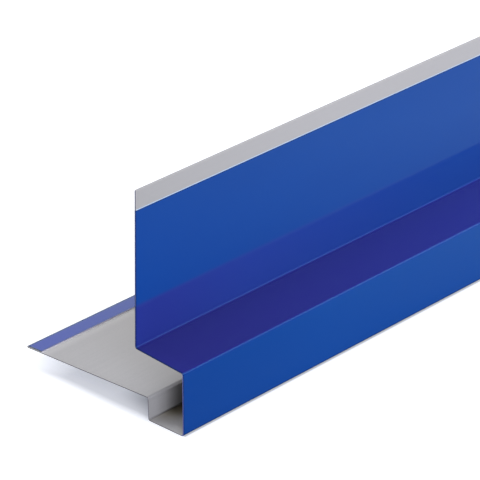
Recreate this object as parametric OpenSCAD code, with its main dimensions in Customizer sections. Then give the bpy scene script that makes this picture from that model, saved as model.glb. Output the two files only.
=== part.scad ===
// Wall flashing: one strip of coated steel sheet, folded lengthwise into a boxed ledge
// with a tall upright above it and a wide flange behind it. Both long edges are hemmed.
// X runs along the strip, Y from front to back, Z up. The origin is under the middle of
// the box floor, at half the length. Widths and heights are measured on the painted
// face, from outside corner to outside corner, as a folded trim is drawn.

/* [Sheet] */
// Length of the strip
length = 2000; // [500:10:4000]
// Thickness of the coated steel
sheet_t = 0.5; // [0.4:0.05:0.8]

/* [Box] */
// Height of the front face
front_h = 50; // [36:0.5:80]
// Width of the box floor, from the front face to the step
floor_w = 34; // [20:0.5:60]
// Height of the step behind the floor, up to the underside of the flange
step_h = 18; // [12:0.5:28]
// Lean of the step to the back, in degrees
step_lean_angle = 1.6; // [0:0.1:5]

/* [Ledge and upright] */
// Width of the ledge, from the front face to the upright
ledge_w = 46; // [30:0.1:80]
// Fall of the ledge to the front, in degrees
ledge_fall_angle = 4.4; // [0:0.1:10]
// Height of the upright above the ledge
upright_h = 123; // [60:0.5:250]
// Lean of the upright to the front, in degrees
upright_lean_angle = 1; // [0:0.1:5]

/* [Flange] */
// Width of the flange, from the step to its hemmed edge
flange_w = 122.5; // [60:0.5:180]
// Fall of the flange to the back, in degrees
flange_fall_angle = 2.1; // [0:0.1:4]

/* [Hems] */
// Width of the hem folded to the front at the top of the upright
top_hem_w = 15.5; // [8:0.1:30]
// Width of the hem folded up onto the flange
flange_hem_w = 15; // [8:0.1:30]
// Inside radius of both hems, half the gap between their layers
hem_r = 0.25; // [0.15:0.05:1]

/* [Bends] */
// Inside radius of the bends at the ledge and under the flange
bend_r = 1.5; // [0.5:0.1:3]
// Inside radius of the bends at both edges of the box floor
foot_r = 1; // [0.5:0.1:3]

/* [Hidden] */
$fn = 96;

// A wall is [turn into it in degrees, inside radius of that bend, size]. A positive turn
// puts the painted face outside the bend, and a negative one puts it inside.
front_walls = [
    [90, foot_r, front_h],
    [90 - ledge_fall_angle, bend_r, ledge_w],
    [ledge_fall_angle - upright_lean_angle - 90, bend_r, upright_h],
    [-180, hem_r, top_hem_w]
];
rear_walls = [
    [90 - step_lean_angle, foot_r, step_h],
    [step_lean_angle - flange_fall_angle - 90, bend_r, flange_w],
    [180, hem_r, flange_hem_w]
];

// How far a bend's curve reaches back from the corner that the sizes are measured to
function reach(turn, r) =
    abs(turn) == 180 ? r + sheet_t : (turn > 0 ? r + sheet_t : r) * tan(abs(turn) / 2);

// What is left of a wall between its bends
function flat(walls, i) =
    walls[i][2] - reach(walls[i][0], walls[i][1])
    - (i + 1 < len(walls) ? reach(walls[i + 1][0], walls[i + 1][1]) : 0);

// Ring piece of one bend, starting at the origin along +X with the painted face on Y = 0
module bend(turn, r) {
    span = 2 * (r + sheet_t);
    translate([0, turn > 0 ? r + sheet_t : -r])
        intersection() {
            difference() {
                circle(r = r + sheet_t);
                circle(r = r);
            }
            translate([0, -span]) square(2 * span);
            rotate(turn) translate([-2 * span, -span]) square(2 * span);
        }
}

// The walls from number i on, each one a bend and the flat that follows it
module folded(walls, i = 0) {
    turn = walls[i][0];
    r = walls[i][1];
    centre = [0, turn > 0 ? r + sheet_t : -r];
    bend(turn, r);
    translate(centre) rotate(turn) translate(-centre) {
        square([flat(walls, i), sheet_t]);
        if (i + 1 < len(walls))
            translate([flat(walls, i), 0]) folded(walls, i + 1);
    }
}

// Cross-section, with the painted face of the box floor on Y = 0
module section() {
    floor_front = reach(front_walls[0][0], foot_r);
    floor_rear = reach(rear_walls[0][0], foot_r);
    floor_flat = floor_w - floor_front - floor_rear;
    translate([floor_front - floor_w / 2, 0]) {
        square([floor_flat, sheet_t]);
        mirror([1, 0]) folded(front_walls);
        translate([floor_flat, 0]) folded(rear_walls);
    }
}

module flashing() {
    color("royalblue")
        rotate([90, 0, 90]) linear_extrude(height = length, center = true) section();
}

flashing();
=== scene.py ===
import math

import bmesh
import bpy
from mathutils import Matrix, Vector


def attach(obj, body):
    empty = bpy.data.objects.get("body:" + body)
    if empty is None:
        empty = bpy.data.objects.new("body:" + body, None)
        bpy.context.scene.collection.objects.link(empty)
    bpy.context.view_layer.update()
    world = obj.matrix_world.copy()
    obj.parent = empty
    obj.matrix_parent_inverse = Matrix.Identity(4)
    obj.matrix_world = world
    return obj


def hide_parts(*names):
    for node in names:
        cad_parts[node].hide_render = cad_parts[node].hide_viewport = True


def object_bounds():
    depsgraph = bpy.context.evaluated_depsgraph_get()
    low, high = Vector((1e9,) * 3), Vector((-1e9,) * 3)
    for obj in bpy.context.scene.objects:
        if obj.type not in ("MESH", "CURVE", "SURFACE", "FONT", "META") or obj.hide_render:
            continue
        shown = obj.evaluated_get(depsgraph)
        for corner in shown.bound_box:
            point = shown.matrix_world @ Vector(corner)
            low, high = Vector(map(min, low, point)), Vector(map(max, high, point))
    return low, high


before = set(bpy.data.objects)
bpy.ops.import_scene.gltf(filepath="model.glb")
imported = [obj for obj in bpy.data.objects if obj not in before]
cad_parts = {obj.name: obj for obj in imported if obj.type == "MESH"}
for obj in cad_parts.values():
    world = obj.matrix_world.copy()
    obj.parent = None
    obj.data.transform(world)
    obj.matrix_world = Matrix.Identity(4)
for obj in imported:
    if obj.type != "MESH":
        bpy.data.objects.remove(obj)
cad_low, cad_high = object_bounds()


# Flashing sheet
# One strip of thin steel, coil-coated blue on its outside and grey on its back. A folding
# machine bends it lengthwise, wall by wall, and turns both long edges back into hems.
# Sizes are taken on the painted face, from outside corner to outside corner.
MM = 0.001
SHEET_T = 0.5 * MM
FLOOR_W = 34 * MM
HEM_R = 0.25 * MM
BEND_R = 1.5 * MM
FOOT_R = 1 * MM
LEDGE_FALL = 4.4
UPRIGHT_LEAN = 1
STEP_LEAN = 1.6
FLANGE_FALL = 2.1

# A wall is the turn into it in degrees, the inside radius of that bend, and its size. A
# positive turn puts the painted face outside the bend, and a negative one inside.
FRONT_WALLS = [
    (90, FOOT_R, 50 * MM),                                   # front face
    (90 - LEDGE_FALL, BEND_R, 46 * MM),                      # ledge
    (LEDGE_FALL - UPRIGHT_LEAN - 90, BEND_R, 123 * MM),      # upright
    (-180, HEM_R, 15.5 * MM),                                # top hem
]
REAR_WALLS = [
    (90 - STEP_LEAN, FOOT_R, 18 * MM),                       # step
    (STEP_LEAN - FLANGE_FALL - 90, BEND_R, 122.5 * MM),      # flange
    (180, HEM_R, 15 * MM),                                   # flange hem
]
STEP_ANGLE = 5       # degrees of bend between two rows of faces
SPAN = 50 * MM         # length of a face along the strip
EDGE_ROUND = 0.06 * MM


def painted_radius(turn, r):
    return r + SHEET_T if turn > 0 else r


def reach(turn, r):
    """How far a bend's curve reaches back from the corner that the sizes are measured to."""
    if abs(turn) == 180:
        return r + SHEET_T
    return painted_radius(turn, r) * math.tan(math.radians(abs(turn)) / 2)


def flat_width(walls, i):
    turn, r, size = walls[i]
    after = reach(*walls[i + 1][:2]) if i + 1 < len(walls) else 0
    return size - reach(turn, r) - after


def select_edges(wanted):
    """In edit mode, selects the edges for which wanted(first end, second end) holds."""
    bm = bmesh.from_edit_mesh(bpy.context.object.data)
    bpy.ops.mesh.select_all(action="DESELECT")
    for edge in bm.edges:
        if wanted(*(v.co for v in edge.verts)):
            edge.select_set(True)
    bm.select_flush_mode()
    bmesh.update_edit_mesh(bpy.context.object.data)


def select_line(at):
    """Selects the lengthwise edge that runs through a point of the section."""
    close = 0.001 * MM
    select_edges(lambda a, b: (a - at).yz.length < close and (b - at).yz.length < close)


def fold_arm(walls, start, heading, side):
    """Bends one wall after another on from the floor. Side is 1 to the back, -1 to the front."""
    at = Vector(start)
    heading = Vector(heading)
    for i, (turn, r, size) in enumerate(walls):
        to_back_coat = Matrix.Rotation(side * math.pi / 2, 3, "X") @ heading
        centre = at + to_back_coat * math.copysign(painted_radius(turn, r), turn)
        angle = side * math.radians(turn)
        select_line(at)
        bpy.ops.mesh.spin(
            steps=max(1, round(abs(turn) / STEP_ANGLE)), angle=angle,
            center=(0, centre.y, centre.z), axis=(-1, 0, 0),
        )
        turned = Matrix.Rotation(angle, 3, "X")
        at = centre + turned @ (at - centre)
        heading = turned @ heading
        select_line(at)
        run = heading * flat_width(walls, i)
        bpy.ops.mesh.extrude_region_move(TRANSFORM_OT_translate={"value": run})
        at = at + run


def folded_sheet():
    floor_front = reach(*FRONT_WALLS[0][:2]) - FLOOR_W / 2
    floor_rear = FLOOR_W / 2 - reach(*REAR_WALLS[0][:2])
    length = cad_high.x - cad_low.x
    bpy.ops.object.select_all(action="DESELECT")
    bpy.ops.mesh.primitive_plane_add(size=1, enter_editmode=True)
    bpy.ops.mesh.select_mode(type="EDGE")
    bpy.ops.transform.resize(value=(length, floor_rear - floor_front, 1))
    bpy.ops.transform.translate(value=(0, (floor_rear + floor_front) / 2, 0))
    fold_arm(FRONT_WALLS, (0, floor_front, 0), (0, -1, 0), -1)
    fold_arm(REAR_WALLS, (0, floor_rear, 0), (0, 1, 0), 1)
    bpy.ops.mesh.select_all(action="SELECT")
    bpy.ops.mesh.remove_doubles(threshold=0.001 * MM)
    bpy.ops.mesh.normals_make_consistent(inside=False)
    bm = bmesh.from_edit_mesh(bpy.context.object.data)
    bm.normal_update()
    floor_face = min(bm.faces, key=lambda f: f.calc_center_median().length)
    if floor_face.normal.z > 0:
        bpy.ops.mesh.flip_normals()
    select_edges(lambda a, b: abs(a.x - b.x) > length / 2)
    bpy.ops.mesh.subdivide(number_cuts=round(length / SPAN) - 1)
    bpy.ops.object.mode_set(mode="OBJECT")
    sheet = bpy.context.object
    sheet.name = "flashing_sheet"
    sheet.data.name = "flashing_sheet"
    return sheet


def thicken(sheet):
    """Gives the painted face its thickness of steel, and takes the keenness off the cut edges."""
    solid = sheet.modifiers.new("sheet thickness", "SOLIDIFY")
    solid.thickness = SHEET_T
    solid.offset = -1
    solid.use_even_offset = True
    solid.use_quality_normals = True
    solid.material_offset = 1
    solid.material_offset_rim = 2
    bpy.ops.object.modifier_apply(modifier=solid.name)
    cut = sheet.modifiers.new("cut edges", "BEVEL")
    cut.width = EDGE_ROUND
    cut.segments = 2
    cut.limit_method = "ANGLE"
    cut.angle_limit = math.radians(60)
    cut.material = 2
    bpy.ops.object.modifier_apply(modifier=cut.name)
    bpy.ops.object.shade_smooth_by_angle(angle=math.radians(30))
    flats = sheet.modifiers.new("flat walls", "WEIGHTED_NORMAL")
    flats.keep_sharp = True
    bpy.ops.object.modifier_apply(modifier=flats.name)


def new_material(name):
    """A fresh material with its principled shader and object coordinates."""
    material = bpy.data.materials.new(name)
    material.use_nodes = True
    nodes = material.node_tree.nodes
    coordinates = nodes.new("ShaderNodeTexCoord")
    return material, nodes, material.node_tree.links, nodes["Principled BSDF"], coordinates


def noise(nodes, links, coordinates, cell, detail=2, stretch=1):
    """Noise with cells of a given size, drawn out along the strip by a factor."""
    mapping = nodes.new("ShaderNodeMapping")
    mapping.inputs["Scale"].default_value = (1 / (cell * stretch), 1 / cell, 1 / cell)
    links.new(coordinates.outputs["Object"], mapping.inputs["Vector"])
    texture = nodes.new("ShaderNodeTexNoise")
    texture.inputs["Scale"].default_value = 1
    texture.inputs["Detail"].default_value = detail
    links.new(mapping.outputs["Vector"], texture.inputs["Vector"])
    return texture.outputs["Fac"]


def spread(nodes, links, value, low, high, start=0.3, end=0.7):
    """Maps a value that runs from start to end onto low to high."""
    ranged = nodes.new("ShaderNodeMapRange")
    for name, number in (("From Min", start), ("From Max", end), ("To Min", low), ("To Max", high)):
        ranged.inputs[name].default_value = number
    links.new(value, ranged.inputs["Value"])
    return ranged.outputs["Result"]


def blend(nodes, links, factor, first, second):
    """Mixes two colours by a factor. A colour is a fixed one or an output of another node."""
    mix = nodes.new("ShaderNodeMix")
    mix.data_type = "RGBA"
    links.new(factor, mix.inputs["Factor"])
    for name, colour in (("A", first), ("B", second)):
        socket = next(x for x in mix.inputs if x.name == name and x.type == "RGBA")
        if isinstance(colour, tuple):
            socket.default_value = (*colour, 1)
        else:
            links.new(colour, socket)
    return next(x for x in mix.outputs if x.type == "RGBA")


def bump(nodes, links, shader, height, depth, before=None):
    """Raises the surface by a height map, on top of an earlier bump."""
    bumped = nodes.new("ShaderNodeBump")
    bumped.inputs["Distance"].default_value = depth
    links.new(height, bumped.inputs["Height"])
    if before:
        links.new(before.outputs["Normal"], bumped.inputs["Normal"])
    links.new(bumped.outputs["Normal"], shader.inputs["Normal"])
    return bumped


def share(nodes, links, first, second, operation="MULTIPLY"):
    """Combines two values, which are node outputs or numbers, into one between 0 and 1."""
    both = nodes.new("ShaderNodeMath")
    both.operation = operation
    both.use_clamp = True
    for socket, value in zip(both.inputs, (first, second)):
        if isinstance(value, (int, float)):
            socket.default_value = value
        else:
            links.new(value, socket)
    return both.outputs[0]


def away_from(nodes, links, coordinates, line):
    """Distance from a line along the strip, given by one of its points."""
    section = nodes.new("ShaderNodeVectorMath")
    section.operation = "MULTIPLY"
    section.inputs[1].default_value = (0, 1, 1)
    links.new(coordinates.outputs["Object"], section.inputs[0])
    away = nodes.new("ShaderNodeVectorMath")
    away.operation = "DISTANCE"
    away.inputs[1].default_value = line
    links.new(section.outputs["Vector"], away.inputs[0])
    return away.outputs["Value"]


def from_middle(nodes, links, coordinates):
    """Distance from the middle of the strip along X, in metres."""
    place = nodes.new("ShaderNodeSeparateXYZ")
    links.new(coordinates.outputs["Object"], place.inputs[0])
    distance = nodes.new("ShaderNodeMath")
    distance.operation = "ABSOLUTE"
    links.new(place.outputs["X"], distance.inputs[0])
    return distance.outputs[0]


# The coil coat is a smooth gloss blue. Faces that look up are painted a purer blue, the tone of
# the sky light they take, the ledge darker and violet as the shade and bounced light it takes,
# and the front face darker near the near end as painted shade. The foot of the upright carries
# a painted violet reflection of the ledge. Thin lines of painted shade lie under the top hem,
# where the paint is darkest, along the front foot and along the fold and edge of the flange
# hem, and a thin dark line is painted along both sheared ends.
WALL_BLUE = (0.001, 0.043, 0.295)
WALL_BLUE_DEEP = (0.001, 0.039, 0.28)
FRONT_BLUE = (0.001, 0.042, 0.26)
FRONT_BLUE_ALONG = (0.001, 0.053, 0.302)
SKYLIT_BLUE = (0.002, 0.001, 0.31)
LEDGE_BLUE = (0.022, 0.018, 0.195)
LEDGE_BLUE_ALONG = (0.02, 0.021, 0.245)
MIRROR_BLUE = (0.024, 0.02, 0.24)
MIRROR_BLUE_ALONG = (0.026, 0.033, 0.288)
SHADE_BLUE = (0.001, 0.012, 0.1)
BEND_ROUGHNESS = 0.35
INNER_CORNER = (0, 28.8 * MM, 53.5 * MM)
FRONT_FOOT = (0, -17 * MM, 0)
# Lines of painted shade along the strip
SHADE_LINES = (
    # a point of the line, how much darker, within what distance, and where that ends
    ((0, 26.9 * MM, 161 * MM), 0.9, 1 * MM, 1.5 * MM),         # under the top hem
    (FRONT_FOOT, 0.75, 1.2 * MM, 2 * MM),
    ((0, 139.6 * MM, 14.9 * MM), 0.75, 1.2 * MM, 2.2 * MM),    # fold of the flange hem
    ((0, 125 * MM, 15.5 * MM), 0.6, 0.8 * MM, 1.8 * MM),       # edge of the flange hem
)


def blue_paint():
    material, nodes, links, shader, coordinates = new_material("blue paint")
    facing = nodes.new("ShaderNodeSeparateXYZ")
    links.new(coordinates.outputs["Normal"], facing.inputs[0])
    from_corner = away_from(nodes, links, coordinates, INNER_CORNER)
    tone = spread(nodes, links, noise(nodes, links, coordinates, 60 * MM, 3, 4), 0, 1)
    colour = blend(nodes, links, tone, WALL_BLUE, WALL_BLUE_DEEP)
    place = nodes.new("ShaderNodeSeparateXYZ")
    links.new(coordinates.outputs["Object"], place.inputs[0])
    # Front face: painted darker near the near end, as painted shade
    along = spread(nodes, links, place.outputs["X"], 0, 1, -0.99, -0.85)
    front_tone = blend(nodes, links, along, FRONT_BLUE, FRONT_BLUE_ALONG)
    front = spread(nodes, links, place.outputs["Y"], 0.85, 0, -16 * MM, -13 * MM)
    colour = blend(nodes, links, front, colour, front_tone)
    # Faces that look up: painted a purer blue, the tone of the sky light they take
    colour = blend(nodes, links, share(nodes, links, facing.outputs["Z"], 1), colour, SKYLIT_BLUE)
    # Foot of the upright: a painted violet reflection of the ledge, fading along the strip
    foot = spread(nodes, links, from_corner, 1, 0, 31.5 * MM, 34.5 * MM)
    foot = share(nodes, links, foot, spread(nodes, links, place.outputs["X"], 0.72, 0.12, -0.96, -0.65))
    # Ledge: painted darker and violet, as its shade and the light the upright bounces onto it, lighter further
    # along
    ledge = spread(nodes, links, from_corner, 1, 0, 48 * MM, 60 * MM)
    ledge = share(nodes, links, facing.outputs["Z"], ledge)
    along = spread(nodes, links, place.outputs["X"], 0, 1, -0.98, -0.88)
    foot_tone = blend(nodes, links, along, MIRROR_BLUE, MIRROR_BLUE_ALONG)
    colour = blend(nodes, links, foot, colour, foot_tone)
    along = spread(nodes, links, place.outputs["X"], 0, 1, -0.95, -0.65)
    ledge_tone = blend(nodes, links, along, LEDGE_BLUE, LEDGE_BLUE_ALONG)
    colour = blend(nodes, links, ledge, colour, ledge_tone)
    # Painted shade: a thin dark line along both sheared ends, and the lines of painted shade
    shade = spread(nodes, links, from_middle(nodes, links, coordinates), 0, 0.8, 0.9986, 0.9991)
    for line, amount, near, far in SHADE_LINES:
        away = away_from(nodes, links, coordinates, line)
        shade_line = spread(nodes, links, away, amount, 0, near, far)
        shade = share(nodes, links, shade, shade_line, "MAXIMUM")
    colour = blend(nodes, links, shade, colour, SHADE_BLUE)
    links.new(colour, shader.inputs["Base Color"])
    orange_peel = noise(nodes, links, coordinates, 1.6 * MM, 1)
    gloss = spread(nodes, links, orange_peel, 0.045, 0.07)
    stretched = spread(nodes, links, from_corner, BEND_ROUGHNESS, 0, 1.5 * MM, 3 * MM)
    links.new(share(nodes, links, gloss, stretched, "MAXIMUM"), shader.inputs["Roughness"])
    peel = bump(nodes, links, shader, orange_peel, 0.0012 * MM)
    sway = noise(nodes, links, coordinates, 45 * MM, 1, 3)
    bump(nodes, links, shader, sway, 0.05 * MM, peel)
    shader.inputs["IOR"].default_value = 1.3
    shader.inputs["Specular Tint"].default_value = (0.0, 0.9, 1, 1)
    return material


# The back coat is a thin satin grey, faintly speckled, with fine lines from the coating roll.
# It is painted lighter away from the near end and the top hem darker near it, as painted light
# and shade. A thin highlight is painted along the edge of the top hem, and painted light lies
# beside and inside the flange hem. Painted shade lies in the crease behind the box floor and
# deeper in the box, brown on its floor.
BACK_GREY = (0.394, 0.39, 0.402)
BACK_GREY_DULL = (0.37, 0.366, 0.382)
BACK_GREY_ALONG = (0.42, 0.411, 0.419)
HEM_GREY = (0.351, 0.348, 0.36)
HEM_GREY_ALONG = (0.398, 0.393, 0.408)
PAINTED_HEM_HIGHLIGHT = (0.45, 0.62, 0.88)
DEEP_BOX_SHADE = (0.008, 0.008, 0.008)
BOX_WALL_SHADE = (0.139, 0.139, 0.146)
BOX_FLOOR_SHADE = (0.2, 0.165, 0.09)
CREASE = (0, 16.2 * MM, 0.8 * MM)
TOP_HEM_EDGE = (0, 25.9 * MM, 161.2 * MM)
HEM_GAP_LIGHT = (0.9, 0.9, 0.92)


def grey_back_coat():
    material, nodes, links, shader, coordinates = new_material("grey back coat")
    speckle = noise(nodes, links, coordinates, 1.2 * MM, 4)
    roll_lines = noise(nodes, links, coordinates, 2.5 * MM, 2, 60)
    mottle = nodes.new("ShaderNodeMath")
    mottle.operation = "ADD"
    links.new(speckle, mottle.inputs[0])
    links.new(roll_lines, mottle.inputs[1])
    tone = spread(nodes, links, mottle.outputs[0], 0, 1, 0.7, 1.3)
    colour = blend(nodes, links, tone, BACK_GREY, BACK_GREY_DULL)
    place = nodes.new("ShaderNodeSeparateXYZ")
    links.new(coordinates.outputs["Object"], place.inputs[0])
    # Painted lighter away from the near end, as painted light
    along = spread(nodes, links, place.outputs["X"], 0, 0.8, -0.98, -0.9)
    colour = blend(nodes, links, along, colour, BACK_GREY_ALONG)
    # Top hem: painted darker than the rest of the coat near the near end, as painted shade
    along = spread(nodes, links, place.outputs["X"], 0, 1, -1, -0.8)
    hem_tone = blend(nodes, links, along, HEM_GREY, HEM_GREY_ALONG)
    on_hem = spread(nodes, links, place.outputs["Z"], 0, 0.85, 158 * MM, 160.5 * MM)
    colour = blend(nodes, links, on_hem, colour, hem_tone)
    # A thin painted highlight along the lower edge of the top hem
    from_hem = away_from(nodes, links, coordinates, TOP_HEM_EDGE)
    hem_highlight = spread(nodes, links, from_hem, 0.9, 0, 0.35 * MM, 0.6 * MM)
    colour = blend(nodes, links, hem_highlight, colour, PAINTED_HEM_HIGHLIGHT)
    # Painted light beside and inside the flange hem, against the shade of its gap
    beside_hem = spread(nodes, links, place.outputs["Y"], 0, 0.22, 116 * MM, 123.5 * MM)
    under_hem = spread(nodes, links, place.outputs["Y"], 0, 1, 123.5 * MM, 125 * MM)
    under_hem = share(nodes, links, beside_hem, under_hem, "MAXIMUM")
    colour = blend(nodes, links, under_hem, colour, HEM_GAP_LIGHT)
    # Painted shade inside the box: grey on the step wall and brown, then near black, on the box floor towards the
    # crease, deeper in from the ends, and a dark line in the crease itself
    from_crease = away_from(nodes, links, coordinates, CREASE)
    middle = from_middle(nodes, links, coordinates)
    inside = spread(nodes, links, middle, 1, 0, 0.969, 0.983)
    wall = spread(nodes, links, from_crease, 1, 0, 15.5 * MM, 16.5 * MM)
    colour = blend(nodes, links, share(nodes, links, inside, wall), colour, BOX_WALL_SHADE)
    on_floor = spread(nodes, links, place.outputs["Z"], 1, 0, 0.6 * MM, 1 * MM)
    floor_shade = share(nodes, links, on_floor, spread(nodes, links, from_crease, 1, 0, 5 * MM, 18 * MM))
    inside = spread(nodes, links, middle, 1, 0.1, 0.972, 0.998)
    colour = blend(nodes, links, share(nodes, links, inside, floor_shade), colour, BOX_FLOOR_SHADE)
    inside = spread(nodes, links, middle, 1, 0, 0.975, 0.987)
    crease_floor_shade = share(nodes, links, on_floor, spread(nodes, links, from_crease, 0.85, 0, 0, 18 * MM))
    colour = blend(nodes, links, share(nodes, links, inside, crease_floor_shade), colour, DEEP_BOX_SHADE)
    inside = spread(nodes, links, middle, 1, 0.3, 0.955, 0.998)
    crease_shade = spread(nodes, links, from_crease, 1, 0, 0.5 * MM, 1 * MM)
    colour = blend(nodes, links, share(nodes, links, inside, crease_shade), colour, DEEP_BOX_SHADE)
    links.new(colour, shader.inputs["Base Color"])
    links.new(spread(nodes, links, speckle, 0.36, 0.46), shader.inputs["Roughness"])
    grain = bump(nodes, links, shader, speckle, 0.004 * MM)
    bump(nodes, links, shader, roll_lines, 0.003 * MM, grain)
    shader.inputs["IOR"].default_value = 1.45
    return material


# A slitting knife leaves the edges as dull dark steel, with fine marks across the thickness.
# The edge is tinted blue on the front face, dark navy on the ledge and upright and light grey
# on the top hem. The long edge along the flange hem is painted light against the shade of
# the hem's gap.
EDGE_STEEL = (0.025, 0.02, 0.035)
EDGE_STEEL_DARK = (0.016, 0.012, 0.024)
EDGE_ZONES = (
    # axis, where the tone begins and is full, and the tone
    ("Y", -14 * MM, -16 * MM, (0.08, 0.1, 0.42)),         # front face
    ("Z", 48.5 * MM, 50.5 * MM, (0.004, 0.012, 0.06)),    # ledge and upright
    ("Z", 160.5 * MM, 161.5 * MM, (0.5, 0.5, 0.53)),      # top hem
)
HEM_EDGE_LIGHT = (0.66, 0.6, 0.76)


def cut_edge():
    material, nodes, links, shader, coordinates = new_material("cut edge")
    marks = noise(nodes, links, coordinates, 0.15 * MM, 3)
    tone = spread(nodes, links, marks, 0, 1)
    colour = blend(nodes, links, tone, EDGE_STEEL, EDGE_STEEL_DARK)
    place = nodes.new("ShaderNodeSeparateXYZ")
    links.new(coordinates.outputs["Object"], place.inputs[0])
    for axis, begin, full, zone_tone in EDGE_ZONES:
        zone = spread(nodes, links, place.outputs[axis], 0, 0.9, begin, full)
        colour = blend(nodes, links, zone, colour, zone_tone)
    # Long cut edges that face the front, along the flange hem: painted light against the shade of the hem's gap
    facing = nodes.new("ShaderNodeSeparateXYZ")
    links.new(coordinates.outputs["Normal"], facing.inputs[0])
    long_edge = spread(nodes, links, facing.outputs["Y"], 1, 0, -0.8, -0.4)
    colour = blend(nodes, links, long_edge, colour, HEM_EDGE_LIGHT)
    links.new(colour, shader.inputs["Base Color"])
    links.new(spread(nodes, links, marks, 0.4, 0.6), shader.inputs["Roughness"])
    bump(nodes, links, shader, marks, 0.01 * MM)
    shader.inputs["Metallic"].default_value = 0.3
    return material


sheet = folded_sheet()
for finish in (blue_paint(), grey_back_coat(), cut_edge()):
    sheet.data.materials.append(finish)
thicken(sheet)
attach(sheet, "root")
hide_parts("flashing")


# Studio floor
# A pale floor that the flashing lies on. The camera sees it as white away from the part, and
# it keeps the soft shadow under the flange, which is painted darker near the step and lighter
# further back. A thin contact shade is painted along the front foot, and in reflections the
# floor is painted to glow brighter towards the far end.
FLOOR_SIZE = 60
FLOOR_WHITE = (0.6, 0.6, 0.6, 1)
FLOOR_LIFT = (0.3, 0.31, 0.335, 1)
UNDER_PART = (
    # axis, where the floor under the part is still shaded, and where it is open
    ("X", -0.9955, -1.005),
    ("X", 0.9955, 1.005),
    ("Y", -0.005, -0.017),
    ("Y", 0.105, 0.135),
)
OPEN_FLOOR_LIFT = 2.1
FAR_FLOOR = (1.5, 4)
FAR_FLOOR_LIFT = 1.5
FAR_SHEEN = 2.4
SHEEN_RUN = (-0.7, -0.2)
SHEEN_SLANT = -2


bpy.ops.object.select_all(action="DESELECT")
bpy.ops.mesh.primitive_plane_add(size=FLOOR_SIZE)
studio_floor = bpy.context.object
studio_floor.name = "studio_floor"
material, nodes, links, shader, coordinates = new_material("studio floor")
shader.inputs["Base Color"].default_value = FLOOR_WHITE
shader.inputs["Roughness"].default_value = 1
shader.inputs["Specular IOR Level"].default_value = 0
shader.inputs["Emission Color"].default_value = FLOOR_LIFT
path = nodes.new("ShaderNodeLightPath")
place = nodes.new("ShaderNodeSeparateXYZ")
links.new(coordinates.outputs["Object"], place.inputs[0])
# In reflections the floor is painted to glow brighter towards the far end
run = nodes.new("ShaderNodeMath")
run.operation = "MULTIPLY_ADD"
links.new(place.outputs["Y"], run.inputs[0])
run.inputs[1].default_value = SHEEN_SLANT
links.new(place.outputs["X"], run.inputs[2])
mirrored = nodes.new("ShaderNodeMath")
mirrored.operation = "MULTIPLY"
links.new(path.outputs["Is Glossy Ray"], mirrored.inputs[0])
links.new(spread(nodes, links, run.outputs[0], 0, FAR_SHEEN, *SHEEN_RUN), mirrored.inputs[1])
open_floor = 0
for axis, shaded, lit in UNDER_PART:
    beside = spread(nodes, links, place.outputs[axis], 0, 1, shaded, lit)
    open_floor = share(nodes, links, open_floor, beside, "MAXIMUM")
distance = nodes.new("ShaderNodeVectorMath")
distance.operation = "LENGTH"
links.new(coordinates.outputs["Object"], distance.inputs[0])
far_lift = spread(nodes, links, distance.outputs["Value"], 0, FAR_FLOOR_LIFT, *FAR_FLOOR)
# A thin contact shade painted on the floor along the front foot, not past the ends
clear_of_front = spread(nodes, links, away_from(nodes, links, coordinates, FRONT_FOOT), 0.1, 1, 0.2 * MM, 2.4 * MM)
# The shadow under the flange, painted darker near the step and lighter further back
deep = spread(nodes, links, from_middle(nodes, links, coordinates), 1, 0, 0.978, 0.998)
deep_lift = spread(nodes, links, place.outputs["Y"], -0.42, 0.4, 38 * MM, 62 * MM)
under_flange = nodes.new("ShaderNodeMath")
under_flange.operation = "MULTIPLY_ADD"
links.new(deep, under_flange.inputs[0])
links.new(deep_lift, under_flange.inputs[1])
under_flange.inputs[2].default_value = 1
near_lift = nodes.new("ShaderNodeMix")
links.new(open_floor, near_lift.inputs["Factor"])
links.new(under_flange.outputs[0], near_lift.inputs[2])
near_lift.inputs[3].default_value = OPEN_FLOOR_LIFT
past_end = spread(nodes, links, from_middle(nodes, links, coordinates), 0, 1, 0.998, 1.001)
clear_of_front = share(nodes, links, clear_of_front, past_end, "MAXIMUM")
seen_lift = nodes.new("ShaderNodeMath")
seen_lift.operation = "MULTIPLY_ADD"
for socket, value in zip(seen_lift.inputs, (near_lift.outputs[0], clear_of_front, far_lift)):
    links.new(value, socket)
seen = share(nodes, links, path.outputs["Is Camera Ray"], path.outputs["Is Transmission Ray"], "MAXIMUM")
lift = nodes.new("ShaderNodeMath")
lift.operation = "MULTIPLY_ADD"
links.new(seen, lift.inputs[0])
links.new(seen_lift.outputs[0], lift.inputs[1])
links.new(mirrored.outputs[0], lift.inputs[2])
links.new(lift.outputs[0], shader.inputs["Emission Strength"])
geometry = nodes.new("ShaderNodeNewGeometry")
clear = nodes.new("ShaderNodeBsdfTransparent")
one_way = nodes.new("ShaderNodeMixShader")
links.new(geometry.outputs["Backfacing"], one_way.inputs["Fac"])
links.new(shader.outputs["BSDF"], one_way.inputs[1])
links.new(clear.outputs["BSDF"], one_way.inputs[2])
links.new(one_way.outputs["Shader"], nodes["Material Output"].inputs["Surface"])
studio_floor.data.materials.append(material)


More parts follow.
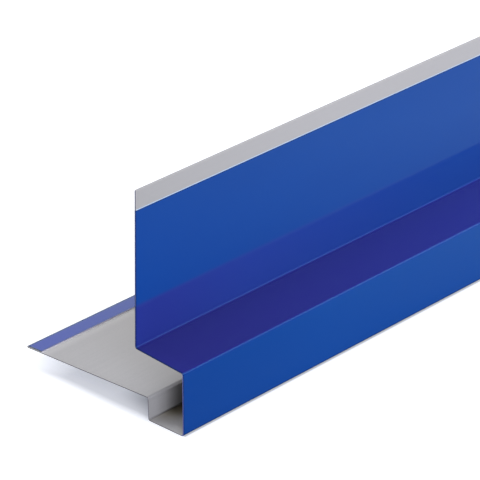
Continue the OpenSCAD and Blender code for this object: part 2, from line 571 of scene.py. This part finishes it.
# Studio light
# Soft boxes round the near end, aimed at it, and a weak even surround that shows as white.
LIT_POINT = Vector((-0.75, 0, 0.08))
SURROUND = 0.25
MIRRORED_SURROUND = 0.5
SOFT_BOXES = (
    # name, direction from the point, distance, side, power, colour
    ("overhead", (0, 0, 1), 3.5, 1.8, 28, (1, 1, 1)),
    ("far_front", (1, -0.9, 0.6), 2, 1.2, 20.5, (1, 1, 1)),
    ("near_front", (-0.55, -0.85, 0.45), 3, 1.5, 50.5, (0.96, 0.98, 1.06)),
    ("near_end", (-1, -0.1, 0.35), 3, 1.5, 20, (1, 1, 1)),
    ("behind", (0.64, 0.62, 0.47), 3.5, 1.5, 12.8, (1, 1, 1)),
    ("back", (-0.3, 1, 0.2), 3, 1.5, 60, (1, 1, 1)),
)

world = bpy.data.worlds.new("studio")
bpy.context.scene.world = world
world.use_nodes = True
nodes = world.node_tree.nodes
links = world.node_tree.links
surround = nodes["Background"]
surround.inputs["Color"].default_value = (1, 1, 1, 1)
path = nodes.new("ShaderNodeLightPath")
strength = spread(nodes, links, path.outputs["Is Glossy Ray"], SURROUND, MIRRORED_SURROUND, 0, 1)
seen = share(nodes, links, path.outputs["Is Camera Ray"], path.outputs["Is Transmission Ray"], "MAXIMUM")
strength = share(nodes, links, strength, seen, "MAXIMUM")
links.new(strength, surround.inputs["Strength"])

for name, direction, distance, side, power, colour in SOFT_BOXES:
    lamp = bpy.data.lights.new(name, "AREA")
    lamp.size = side
    lamp.energy = power
    lamp.color = colour
    box = bpy.data.objects.new(name, lamp)
    out = Vector(direction).normalized()
    box.location = LIT_POINT + out * distance
    box.rotation_euler = out.to_track_quat("Z", "Y").to_euler()
    bpy.context.scene.collection.objects.link(box)


# Camera
# It looks along the strip from its near end, down onto the ledge.
CAMERA_AT = (-2.355484, -1.329356, 1.081989)
CAMERA_AZIMUTH = math.radians(-47.127)
CAMERA_ELEVATION = math.radians(26.217)

back = Vector((
    math.sin(CAMERA_AZIMUTH) * math.cos(CAMERA_ELEVATION),
    -math.cos(CAMERA_AZIMUTH) * math.cos(CAMERA_ELEVATION),
    math.sin(CAMERA_ELEVATION),
))
right = Vector((math.cos(CAMERA_AZIMUTH), math.sin(CAMERA_AZIMUTH), 0))
camera = bpy.data.objects.new("camera", bpy.data.cameras.new("camera"))
bpy.context.scene.collection.objects.link(camera)
camera.matrix_world = Matrix.Translation(CAMERA_AT) @ Matrix((right, back.cross(right), back)).transposed().to_4x4()
camera.data.lens = 233.18
camera.data.sensor_width = 36
camera.data.clip_end = 100
bpy.context.scene.camera = camera

scene = bpy.context.scene
scene.view_settings.view_transform = "Standard"
